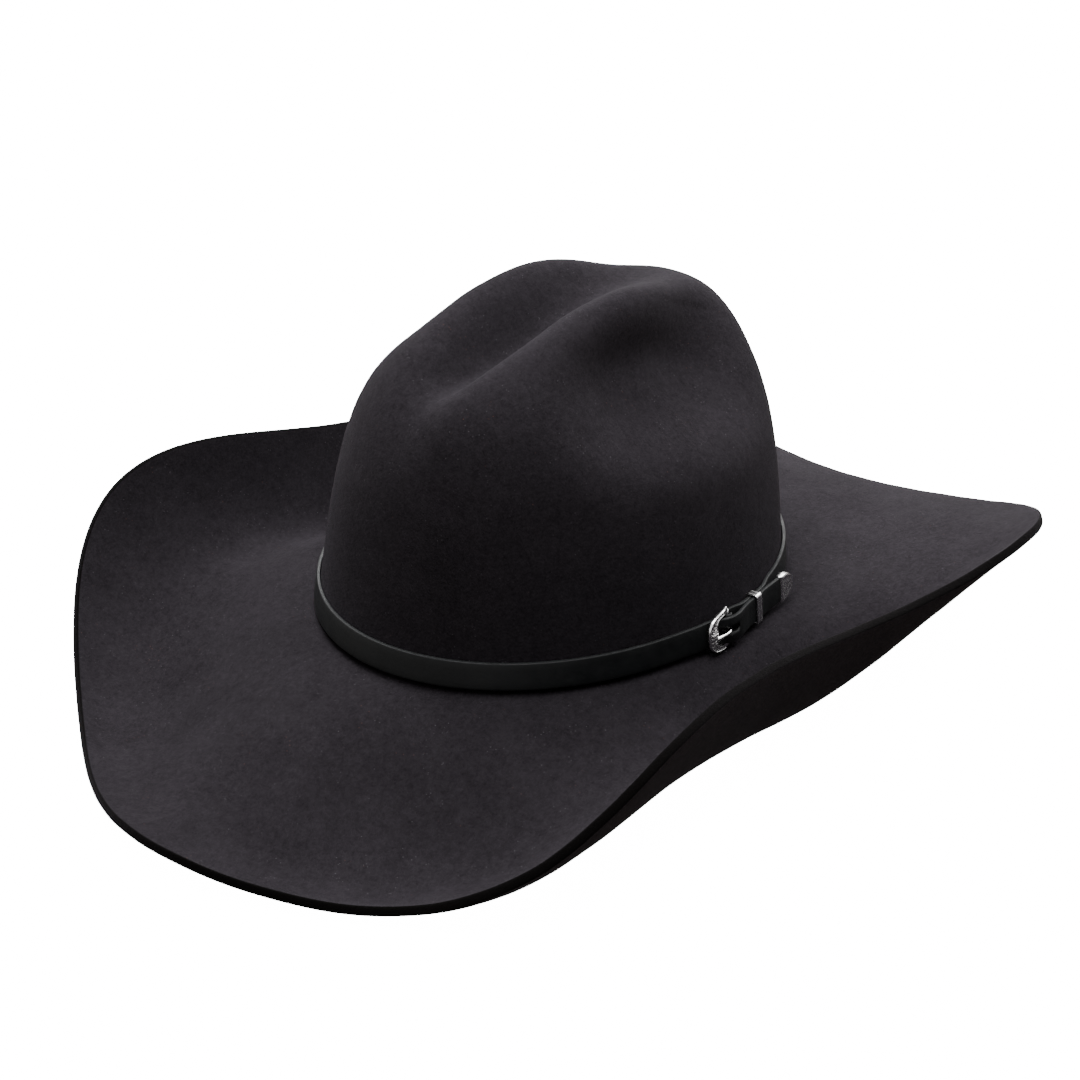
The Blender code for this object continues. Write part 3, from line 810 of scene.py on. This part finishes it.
def make_buckle():
    """The frame: an engraved bow that stands clear over the strap, and the bar between its ends."""
    turns = np.radians(np.linspace(-90, 90, 260))
    swell = np.cos(turns)
    run = -BOW_AHEAD * swell**0.6
    high = BUCKLE_MIDDLE + BUCKLE_HALF * np.sign(turns) * abs(np.sin(turns)) ** 0.6
    path = np.stack([run, high], -1)
    length = np.concatenate([[0], np.linalg.norm(np.diff(path, axis=0), axis=1).cumsum()])
    even = np.linspace(0, length[-1], 300)
    run, high, swell = (np.interp(even, length, values) for values in (run, high, swell))
    out = BAR_OUT + 0.0024 * swell**0.35
    ahead = np.gradient(np.stack([run, high], -1), axis=0)
    ahead = ahead / np.linalg.norm(ahead, axis=1, keepdims=True)
    reach = np.stack([-ahead[:, 1], ahead[:, 0]], -1)
    if reach[150, 0] > 0:
        reach = -reach
    from_end = np.minimum(even, even[-1] - even)
    knob = hump(from_end, 0.0013, 0.0011)
    closing = np.sqrt(np.clip(1 - (1 - np.clip(from_end / 0.0011, 0, 1)) ** 2, 0.02, 1))
    # The bow broadens inwards at its front only, so that its arms pass clear beside the strap
    broad = 0.0014 * np.clip((swell - 0.5) / 0.5, 0, 1)
    wide = (0.00104 + broad + 0.00030 * knob) * closing
    run = run - 0.6 * broad * reach[:, 0]
    high = high - 0.6 * broad * reach[:, 1]
    deep = (0.00105 + 0.00022 * swell + 0.00020 * knob) * closing
    sides = np.sin(np.radians(np.linspace(-90, 90, 27)))

    def spot(k, side, lift):
        """A point of one ring of the bow, so far to its side and so high above its middle."""
        across, up = wide[k] * side * reach[k]
        return strap(run[k] + across, out[k] + lift, high[k] + up)

    rings, marks = [], []
    for k in range(len(even)):
        plain = float(np.clip((from_end[k] - 0.0026) / 0.0006, 0, 1))
        cut = feather(even[k], sides) * plain
        beads = relief(sides, 0.40 * plain, 0.26 * plain)
        lift = deep[k] * (beads * 0.95 - 0.16 * cut)
        ring = [spot(k, s, up) for s, up in zip(sides, lift)]
        for s in sides[::-2]:
            ring.append(spot(k, s, -0.62 * deep[k] * math.sqrt(max(0, 1 - (0.92 * s) ** 2))))
        rings.append(ring)
        groove = plain * 0.55 * (hump(sides, 0.62, 0.07) + hump(sides, -0.68, 0.06))
        # The points of the bow's back, which face the strap, are marked 0.5 as painted shade
        marks += list(np.clip(0.7 * cut + groove, 0, 1)) + [0.5] * len(sides[::-2])
    points, faces = capped(rings)
    piece("buckle_bow", points, faces, "buckle", SILVER, ["buckle_frame"], {"engraved": marks})
    spokes = np.radians(np.arange(0, 360, 15))
    around_bar = [(BAR_RADIUS * math.cos(t), BAR_OUT + BAR_RADIUS * math.sin(t)) for t in spokes]
    levels = BUCKLE_MIDDLE + np.linspace(-1, 1, 9) * (BUCKLE_HALF - 0.0003)
    points, faces = capped([[strap(along, away, level) for along, away in around_bar] for level in levels])
    shade = {"engraved": np.full(len(points), 0.15)}
    piece("buckle_bar_pin", points, faces, "buckle", SILVER, (), shade)


def make_tongue():
    """The tongue: a ring round the bar, and a pin that comes up through the strap and reaches the bow."""
    collar = []
    for turn in np.radians(np.arange(0, 360, 10)):
        ring = []
        for t in np.radians(np.arange(0, 360, 30)):
            radius, level = 0.00149 + 0.00041 * math.cos(t), BAND_MIDDLE + 0.0011 * math.sin(t)
            ring.append(strap(radius * math.cos(turn), BAR_OUT + radius * math.sin(turn), level))
        collar.append(ring)
    points, faces = hooped(collar)
    shade = {"engraved": np.full(len(points), 0.1)}
    made = piece("tongue_pin", points, faces, "tongue", SILVER, ["buckle_tongue"], shade)

    # The pin, as distance along the strap, distance out, and radius
    route = (
        (-0.0004, 0.00395, 0.0006),
        (-0.0014, 0.0052, 0.0007),
        (-0.0036, 0.0066, 0.0006),
        (-0.0070, 0.0069, 0.0006),
        (-0.0086, 0.0069, 0.0008),
        (-0.0095, 0.0069, 0.00095),
        (-0.0101, 0.0069, 0.00075),
        (-0.0104, 0.0068, 0.0003),
    )
    route = smooth_path(route, 8)
    rings = []
    for (run, out, radius), way in zip(route, headings(route)):
        ring = []
        for spoke in np.radians(np.arange(0, 360, 22.5)):
            lift, high = radius * math.sin(spoke), radius * math.cos(spoke)
            ring.append(strap(run - way[1] * lift, out + way[0] * lift, BAND_MIDDLE + high))
        rings.append(ring)
    points, faces = capped(rings)
    shade = {"engraved": np.full(len(points), 0.1)}
    pin = piece("pin_helper", points, faces, None, SILVER, (), shade)
    joined(made, pin, "UNION")


def make_keeper():
    """The loop that holds both layers of the strap, with a groove beside each edge."""
    low, high = BAND_BOTTOM - KEEPER_ROOM, BAND_TOP + KEEPER_ROOM
    out_middle, out_half = (KEEPER_INSIDE + KEEPER_OUTSIDE) / 2, (KEEPER_OUTSIDE - KEEPER_INSIDE) / 2
    high_middle, high_half = (low + high) / 2, (high - low) / 2
    loop = rounded(out_half, high_half, 0.0005, 5)
    rings, marks = [], []
    sides = np.linspace(-1, 1, 15)
    for k, (o, h) in enumerate(loop):
        before, after = loop[k - 1], loop[(k + 1) % len(loop)]
        outward = np.array([after[1] - before[1], -(after[0] - before[0])])
        outward = outward / np.linalg.norm(outward)
        ring = []
        for s in sides:
            away, up = KEEPER_METAL * (0.45 + 0.62 * relief(s, 0.42, 0.42)) * outward
            along = KEEPER_BACK + s * KEEPER_WIDTH / 2
            ring.append(strap(along, out_middle + o + away, high_middle + h + up))
        for s in sides[::-2]:
            ring.append(strap(KEEPER_BACK + s * KEEPER_WIDTH / 2, out_middle + o, high_middle + h))
        rings.append(ring)
        groove = 0.75 * (hump(sides, 0.60, 0.09) + hump(sides, -0.60, 0.09))
        # The points of the keeper's inside, round the strap, are marked 0.5 as painted shade
        marks += list(np.clip(groove + 0.08, 0, 1)) + [0.5] * len(sides[::-2])
    points, faces = hooped(rings)
    piece("keeper_band", points, faces, "keeper_loop", SILVER, ["keeper"], {"engraved": marks})


def make_tip():
    """The pointed cap over the strap's end: domed, beaded round its outline and engraved."""
    rings, marks = [], []
    sides = np.sin(np.radians(np.linspace(-90, 90, 31)))
    for share in np.linspace(0, 1, 70):
        along = share * TIP_LENGTH
        shape = max(0.0, 1 - max(0.0, (share - 0.22) / 0.78) ** 1.9) ** 0.85
        half_high = max(0.00025, (BAND_HALF + 0.0003) * shape)
        rounding = math.sqrt(max(0.04, min(1.0, share / 0.05, (1 - share) / 0.06)))
        half_out = 0.00150 * (0.55 + 0.45 * shape) * rounding
        run, out = GIRTH + TIP_BACK + along, TIP_OUT + along * TAIL_ACROSS / TAIL_ALONG
        stem = float(share > 0.10) * min(1, shape * 1.4)
        cut = feather(along * 1.1, sides * 1.05) * stem
        lift = half_out * (0.50 + 0.55 * relief(sides, 0.36 * stem, 0.36 * stem) - 0.14 * cut)
        ring = []
        for s, o in zip(sides, lift):
            ring.append(strap(run - TAIL_ACROSS * o, out + TAIL_ALONG * o, BAND_MIDDLE + half_high * s))
        for s in sides[::-2]:
            o = -half_out * (0.75 + 0.25 * math.sqrt(max(0, 1 - s * s)))
            ring.append(strap(run - TAIL_ACROSS * o, out + TAIL_ALONG * o, BAND_MIDDLE + half_high * s))
        rings.append(ring)
        groove = 0.5 * stem * (hump(sides, 0.62, 0.08) + hump(sides, -0.62, 0.08))
        # The points of the tip's back, against the strap, are marked 0.4 as painted shade
        marks += list(np.clip(0.6 * cut + groove, 0, 1)) + [0.4] * len(sides[::-2])
    points, faces = capped(rings)
    piece("strap_tip", points, faces, "hat", SILVER, ["band_tip"], {"engraved": marks})


make_buckle()
make_tongue()
make_keeper()
make_tip()


# ---------------------------------------------------------------- inside


def sweatband_out(height):
    """How far out the sweatband's outer face is, which is inside the felt."""
    return -np.interp(height, (SWEATBAND_BOTTOM, 0.010, SWEATBAND_TOP), (0.0042, 0.0043, 0.0055))


def make_sweatband():
    strip = np.linspace(math.pi / 2 + SWEATBAND_SPLIT, 5 * math.pi / 2 - SWEATBAND_SPLIT, 360)
    heights = np.linspace(-0.0015, SWEATBAND_TOP - 0.0012, 14)
    heights = np.concatenate([[SWEATBAND_BOTTOM], heights, [SWEATBAND_TOP]])
    rings, edges = [], []
    for angle in strip:
        sway = 0.0007 * math.sin(3 * angle + 0.7) + 0.0004 * math.sin(7 * angle)
        top = np.interp(heights, (0.030, SWEATBAND_TOP), (0, 1))
        level = heights + top * (sway - 0.0011)
        ease = np.interp(heights, (0.020, SWEATBAND_TOP), (0, 1))
        inset = ease * 0.0003 * (1 + math.sin(5 * angle + 1.1))
        outer = wall(angle, level, sweatband_out(heights) - inset)
        leather = np.interp(heights, (SWEATBAND_BOTTOM, 0.0, 0.048, SWEATBAND_TOP), (0.8, 1, 1, 0.55))
        inner = wall(angle, level, sweatband_out(heights) - inset - leather * SWEATBAND_LEATHER)
        rings.append(np.concatenate([outer, inner[::-1]]))
        worn = np.clip((heights - SWEATBAND_TOP + 0.003) / 0.002, 0, 1)
        edges += list(worn) + list(worn[::-1])
    points, faces = capped(rings)
    marks = {"edge": edges}
    piece("sweatband_strip", points, faces, "hat", SWEAT, ["sweatband"], marks)


def make_reed():
    strip = np.linspace(math.pi / 2 + SWEATBAND_SPLIT, 5 * math.pi / 2 - SWEATBAND_SPLIT, 420)
    spokes = np.radians(np.arange(0, 360, 30))
    level = SWEATBAND_BOTTOM + REED_RADIUS + REED_RADIUS * np.sin(spokes)
    rings = [wall(angle, level, -REED_DEPTH + REED_RADIUS * np.cos(spokes)) for angle in strip]
    along = np.repeat(strip / (2 * math.pi) * GIRTH / 0.0009, len(spokes))
    points, faces = capped(rings)
    piece("reed_cord", points, faces, "hat", TAPE, ["sweatband_reed"], {"along": along})


def make_stitches():
    """The row of stitches that holds the reed's tape to the sweatband."""
    count = 190
    points, faces, along = [], [], []
    spokes = np.radians(np.arange(0, 360, 60))
    for k in range(count):
        start = math.pi / 2 + 2 * SWEATBAND_SPLIT + (2 * math.pi - 4 * SWEATBAND_SPLIT) * k / count
        length = (2 * math.pi - 4 * SWEATBAND_SPLIT) / count * 0.62
        first = len(points)
        for step, thin in zip(np.linspace(0, 1, 5), (0.35, 0.9, 1.0, 0.9, 0.35)):
            for spoke in spokes:
                face = sweatband_out(0.001) - SWEATBAND_LEATHER
                o = face - 0.00012 * thin + 0.00022 * thin * math.cos(spoke)
                points.append(wall(start + length * step, 0.0012 + 0.00022 * thin * math.sin(spoke), o))
                along.append(step * 3)
        faces += sleeve(5, 6, first)
        faces += [tuple(range(first, first + 6))[::-1], tuple(range(first + 24, first + 30))]
    marks = {"along": along}
    piece("sweatband_stitches", placed(points), faces, "hat", THREAD, (), marks)


def make_bow():
    """The ribbon bow over the sweatband's join: two flat loops and a knot."""
    rings, along = [], []
    level = 0.011
    out = sweatband_out(level) - SWEATBAND_LEATHER - 0.0004
    loops = np.linspace(0, 2 * math.pi, 121)[:-1]
    for t in loops:
        reach = 0.0088 * math.sin(t)
        puff = 0.0011 * math.sin(2 * t)
        half = 0.0016 + 0.0026 * abs(math.sin(t)) ** 0.8
        spin = math.pi / 2 + reach / SWEATBAND_BACK
        ring = []
        for o, h in ((-0.00016, -half), (0.00016, -half), (0.00016, half), (-0.00016, half)):
            ring.append(wall(spin, level + h, out - 0.0013 + puff + o))
        rings.append(ring)
        along += [t * 12] * 4
    points, faces = hooped(rings)
    piece("bow_loops", points, faces, "hat", RIBBON, ["sweatband_bow"], {"along": along})
    knot, along = [], []
    for t in np.linspace(0, 2 * math.pi, 25)[:-1]:
        ring = []
        for o, s in ((0, -1), (0.00035, -0.7), (0.00042, 0), (0.00035, 0.7), (0, 1), (-0.00016, 0)):
            bulge = 1.0 + o / 0.0014
            spin = math.pi / 2 + s * 0.0013 / SWEATBAND_BACK
            away = 0.0013 * bulge * math.cos(t) * 0.85
            ring.append(wall(spin, level + 0.0023 * bulge * math.sin(t), out - 0.0013 + away))
        knot.append(ring)
        along += [t * 3] * 6
    points, faces = hooped(knot)
    piece("bow_knot", points, faces, "hat", RIBBON, (), {"along": along})


def skin(name, outer, normal, pole, nodes):
    """A thin closed skin of satin between a grid of rings and the same grid moved inwards."""
    inner = outer - LINING_SATIN * normal
    rows, count = outer.shape[:2]
    shell = np.concatenate([inner[::-1], outer])
    points = shell.reshape(-1, 3)
    if pole is None:
        faces = closed_sleeve(2 * rows, count)
    else:
        # The grid runs up to a pole, so a fan closes each side of the skin there
        points = np.concatenate([points, [pole - [0, 0, LINING_SATIN], pole]])
        faces = sleeve(2 * rows, count) + pole_fans(2 * rows, count)
    return piece(name, placed(points), faces, "hat", SATIN, nodes)


def lining_rings(turns, first, last, count, depth):
    """Rings of lining up the inside of the crown, from one share of its turn to another."""
    shares = np.linspace(first, last, count)
    return [inward(turns, np.full(len(turns), up), np.full(len(turns), depth)) for up in shares]


def make_linings():
    turns = np.arange(300) * 2 * math.pi / 300
    seams = np.linspace(0, 1, 19)

    # The side lining is gathered near its top
    depth = CROWN_FELT + LINING_GAP
    side = [wall(turns, SIDE_LINING_BOTTOM, -CROWN_FELT - LINING_GAP)]
    side = np.array(side + lining_rings(turns, seams[1], seams[4], 26, depth))
    normal = normals_of(side)
    gather = 0.5 + 0.5 * np.sin(46 * turns + 2.0 * np.sin(5 * turns))
    share = np.clip((side[..., 2] - 0.060) / 0.012, 0, 1)
    side = side - (0.0009 * share * gather)[..., None] * normal
    lining = skin("lining_side", side, normal, None, ["side_lining"])

    # The tip lining runs up under the top of the crown
    depth = CROWN_FELT + TIP_LINING_DROP
    tip = np.array(lining_rings(turns, seams[5], seams[-2], 60, depth))
    top = crown(np.zeros(1), np.ones(1))[0] - [0, 0, depth]
    lining = skin("lining_tip", tip, normals_of(tip), top, ["tip_lining"])


make_sweatband()
make_reed()
make_stitches()
make_bow()
make_linings()


# ---------------------------------------------------------------- stage


# The floor and the sky are white to the camera, dimmer in the metal, and dimmer still as light on the hat
FLOOR_HALF = 6
FLOOR_PAINT = (0.90, 0.90, 0.90, 1)
FLOOR_BOUNCE = (0.115, 0.088, 0.065, 1)
FLOOR_GLOW = 16.0
FLOOR_SHINE = 0.7
SKY_LIGHT = 0.05
SKY_SHINE = 1.5
SKY_SEEN = 16.0
WHITE = (1, 1, 1, 1)

# Each lamp: its name, degrees round from the wearer's left, degrees up, and watts
LAMPS = (
    ("overhead", 164, 60, 50),
    ("beside", 44, 60, 10),
    ("behind", 89, 32, 20),
    ("low_behind", 134, 12, 18),
    ("before", 314, 75, 27),
)
LAMP_AWAY = 1.4
LAMP_SIZE = 0.8
LAMP_AIM = 0.07


def make_floor():
    mesh = bpy.data.meshes.new("floor")
    corners = [(x * FLOOR_HALF, y * FLOOR_HALF, 0) for x, y in ((-1, -1), (1, -1), (1, 1), (-1, 1))]
    mesh.from_pydata(corners, [], [(0, 1, 2, 3)])
    floor = bpy.data.objects.new("floor", mesh)
    bpy.context.scene.collection.objects.link(floor)
    g = Graph("floor_paint")
    seen = g.add("LightPath", "Is Camera Ray")
    mirrored = g.add("LightPath", "Is Glossy Ray")
    glow = g.calc("ADD", g.calc("MULTIPLY", seen, FLOOR_GLOW), g.calc("MULTIPLY", mirrored, FLOOR_SHINE))
    g.finish(
        Base_Color=g.mix(seen, FLOOR_BOUNCE, FLOOR_PAINT),
        Roughness=0.9,
        Emission_Color=WHITE,
        Emission_Strength=glow,
    )
    mesh.materials.append(g.material)


def make_sky():
    world = bpy.data.worlds.new("studio")
    bpy.context.scene.world = world
    world.use_nodes = True
    tree = world.node_tree
    background = tree.nodes["Background"]
    path = tree.nodes.new("ShaderNodeLightPath")
    shine = tree.nodes.new("ShaderNodeMapRange")
    shine.inputs["To Min"].default_value = SKY_LIGHT
    shine.inputs["To Max"].default_value = SKY_SHINE
    strength = tree.nodes.new("ShaderNodeMapRange")
    strength.inputs["To Max"].default_value = SKY_SEEN
    tree.links.new(path.outputs["Is Glossy Ray"], shine.inputs["Value"])
    tree.links.new(shine.outputs[0], strength.inputs["To Min"])
    tree.links.new(path.outputs["Is Camera Ray"], strength.inputs["Value"])
    tree.links.new(strength.outputs[0], background.inputs["Strength"])
    background.inputs["Color"].default_value = WHITE


def make_lamps():
    aim = Vector((0, 0, LAMP_AIM))
    for name, azimuth, height, power in LAMPS:
        lamp = bpy.data.lights.new(name, "AREA")
        lamp.energy = power
        lamp.size = LAMP_SIZE
        made = bpy.data.objects.new(name, lamp)
        bpy.context.scene.collection.objects.link(made)
        made.visible_camera = False
        turn, lift = math.radians(azimuth), math.radians(height)
        towards = Vector((math.cos(turn) * math.cos(lift), math.sin(turn) * math.cos(lift), math.sin(lift)))
        made.location = aim + LAMP_AWAY * towards
        made.rotation_euler = (-towards).to_track_quat("-Z", "Y").to_euler()


make_floor()
make_sky()
make_lamps()
